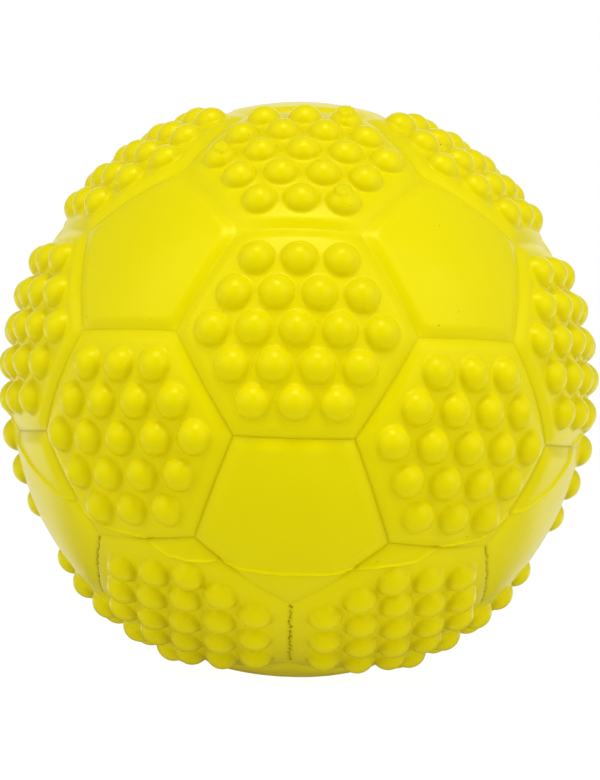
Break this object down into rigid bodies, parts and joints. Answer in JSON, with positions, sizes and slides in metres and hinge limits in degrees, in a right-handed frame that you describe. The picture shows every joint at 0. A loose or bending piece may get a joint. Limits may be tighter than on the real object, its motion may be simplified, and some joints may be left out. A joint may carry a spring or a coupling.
{
  "type": "dodgeball",
  "caption": "Inflatable yellow rubber dodgeball with smooth pentagon panels and nubbed hexagon panels over a wound bladder with a needle valve.",
  "frame": {"origin": "centre of the ball", "axes": "+Z out through the needle valve in the middle of the top smooth panel, -Y towards the front, +X to the right seen from the front"},
  "size_m": [0.1768, 0.1778, 0.1701],
  "materials": {
    "cover_rubber": "satin moulded rubber",
    "carcass_rubber": "matt calendered rubber",
    "winding_thread": "wound nylon thread",
    "bladder_butyl": "smooth butyl rubber",
    "valve_rubber": "moulded butyl rubber",
    "plug_rubber": "soft self-sealing rubber"
  },
  "bodies": {
    "root": {"smooth_panel_top": "cover_rubber", "smooth_panel_bottom": "cover_rubber", "smooth_panel_upper_1": "cover_rubber", "smooth_panel_upper_2": "cover_rubber", "smooth_panel_upper_3": "cover_rubber", "smooth_panel_upper_4": "cover_rubber", "smooth_panel_upper_5": "cover_rubber", "smooth_panel_lower_1": "cover_rubber", "smooth_panel_lower_2": "cover_rubber", "smooth_panel_lower_3": "cover_rubber", "smooth_panel_lower_4": "cover_rubber", "smooth_panel_lower_5": "cover_rubber", "nub_panel_top_1": "cover_rubber", "nub_panel_top_2": "cover_rubber", "nub_panel_top_3": "cover_rubber", "nub_panel_top_4": "cover_rubber", "nub_panel_top_5": "cover_rubber", "nub_panel_upper_1": "cover_rubber", "nub_panel_upper_2": "cover_rubber", "nub_panel_upper_3": "cover_rubber", "nub_panel_upper_4": "cover_rubber", "nub_panel_upper_5": "cover_rubber", "nub_panel_lower_1": "cover_rubber", "nub_panel_lower_2": "cover_rubber", "nub_panel_lower_3": "cover_rubber", "nub_panel_lower_4": "cover_rubber", "nub_panel_lower_5": "cover_rubber", "nub_panel_bottom_1": "cover_rubber", "nub_panel_bottom_2": "cover_rubber", "nub_panel_bottom_3": "cover_rubber", "nub_panel_bottom_4": "cover_rubber", "nub_panel_bottom_5": "cover_rubber", "carcass_upper": "carcass_rubber", "carcass_lower": "carcass_rubber", "thread_winding": "winding_thread", "bladder": "bladder_butyl", "valve_housing": "valve_rubber", "valve_plug": "plug_rubber"}
  },
  "joints": []
}
